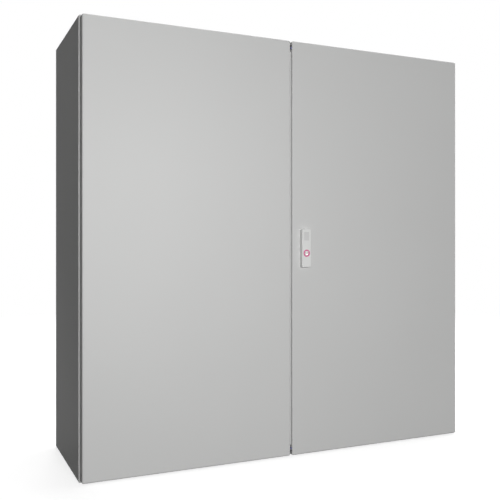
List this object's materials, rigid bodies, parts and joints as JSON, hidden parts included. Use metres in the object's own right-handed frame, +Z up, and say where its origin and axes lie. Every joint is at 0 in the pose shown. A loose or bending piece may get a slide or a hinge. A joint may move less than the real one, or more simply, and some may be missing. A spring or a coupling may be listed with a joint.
{
  "type": "two-door wall-mounted electrical enclosure",
  "caption": "Square wall-mounted sheet-steel electrical enclosure with two hinged doors, a rod lock in the right leaf, a mounting plate inside and gland plates in its floor.",
  "frame": {"origin": "middle of the case's width and depth, on its underside", "axes": "+Z up, +Y towards the wall behind the case, +X to the right when facing the doors"},
  "size_m": [1, 0.3308, 1],
  "materials": {
    "case_paint": "fine textured powder coat, light grey",
    "left_door_paint": "fine textured powder coat, light grey",
    "right_door_paint": "fine textured powder coat, light grey",
    "galvanised_sheet": "spangled zinc, dull",
    "zinc_fasteners": "bright zinc plate",
    "cast_zinc": "cast, satin",
    "lock_metal": "satin nickel",
    "seal_foam": "foamed-in-place polyurethane, matte black",
    "seal_end_rubber": "soft rubber, matte blue-black",
    "lock_plastic": "fine moulded grain, light grey",
    "label_sheet": "smooth blank sheet",
    "guide_plastic": "moulded nylon, black"
  },
  "bodies": {
    "case": {"case_earth_nut": "zinc_fasteners", "case_earth_stud": "zinc_fasteners", "case_shell": "case_paint", "gland_gasket_left": "seal_foam", "gland_gasket_right": "seal_foam", "gland_plate_left": "galvanised_sheet", "gland_plate_right": "galvanised_sheet", "gland_screws": "zinc_fasteners", "hinge_bracket_screws": "zinc_fasteners", "left_hinge_brackets": "cast_zinc", "left_hinge_pins": "zinc_fasteners", "mounting_nuts": "zinc_fasteners", "mounting_plate": "galvanised_sheet", "mounting_spacers": "zinc_fasteners", "mounting_studs": "zinc_fasteners", "rear_panel": "case_paint", "right_hinge_brackets": "cast_zinc", "right_hinge_pins": "zinc_fasteners"},
    "left_door": {"left_door_panel": "left_door_paint", "left_door_gasket": "seal_foam", "left_door_frame": "galvanised_sheet", "left_door_frame_nuts": "zinc_fasteners", "left_hinge_lugs": "cast_zinc", "left_door_earth_stud": "zinc_fasteners", "left_door_earth_nut": "zinc_fasteners", "gap_cover_strip": "left_door_paint", "gap_seal_ends": "seal_end_rubber", "latch_brackets": "galvanised_sheet", "latch_pivots": "zinc_fasteners"},
    "right_door": {"right_door_panel": "right_door_paint", "right_door_gasket": "seal_foam", "right_door_frame": "galvanised_sheet", "right_door_frame_nuts": "zinc_fasteners", "right_hinge_lugs": "cast_zinc", "right_door_earth_stud": "zinc_fasteners", "right_door_earth_nut": "zinc_fasteners", "lock_trim": "lock_plastic", "lock_label_plate": "label_sheet", "lock_ring": "lock_metal", "lock_housing": "cast_zinc", "lock_clamp_nut": "zinc_fasteners", "gear_case": "galvanised_sheet", "gear_case_spacers": "zinc_fasteners", "gear_case_screws": "zinc_fasteners", "upper_rod_guides": "guide_plastic", "lower_rod_guides": "guide_plastic"},
    "lock": {"lock_insert": "lock_metal", "latch_cam": "cast_zinc", "lock_pinion": "cast_zinc", "spindle_screw": "zinc_fasteners"},
    "upper_rod": {"upper_rod": "galvanised_sheet", "upper_rod_tip": "guide_plastic"},
    "lower_rod": {"lower_rod": "galvanised_sheet", "lower_rod_tip": "guide_plastic"},
    "upper_latch": {"upper_latch_lever": "galvanised_sheet"},
    "lower_latch": {"lower_latch_lever": "galvanised_sheet"}
  },
  "joints": [
    {"name": "left_door_swing", "type": "hinge", "parent": "case", "child": "left_door", "pos_m": [-0.49, -0.1615, 0.5], "axis": [0, 0, -1], "range_deg": [0, 130]},
    {"name": "right_door_swing", "type": "hinge", "parent": "case", "child": "right_door", "pos_m": [0.49, -0.1615, 0.5], "axis": [0, 0, 1], "range_deg": [0, 130]},
    {"name": "lock_turn", "type": "hinge", "parent": "right_door", "child": "lock", "pos_m": [0.036, -0.15, 0.488], "axis": [0, -1, 0], "range_deg": [0, 90]},
    {"name": "upper_rod_slide", "type": "slide", "parent": "right_door", "child": "upper_rod", "axis": [0, 0, 1], "range_m": [0, 0.0157]},
    {"name": "lower_rod_slide", "type": "slide", "parent": "right_door", "child": "lower_rod", "axis": [0, 0, -1], "range_m": [0, 0.0157]},
    {"name": "upper_latch_turn", "type": "hinge", "parent": "left_door", "child": "upper_latch", "pos_m": [-0.028, -0.1445, 0.94], "axis": [0, 1, 0], "range_deg": [0, 90]},
    {"name": "lower_latch_turn", "type": "hinge", "parent": "left_door", "child": "lower_latch", "pos_m": [-0.028, -0.1445, 0.06], "axis": [0, -1, 0], "range_deg": [0, 90]}
  ],
  "couplings": [
    {"joint": "lock_turn", "follows": "upper_rod_slide", "rad_per_m": 100},
    {"joint": "lower_rod_slide", "follows": "upper_rod_slide", "ratio": 1}
  ]
}
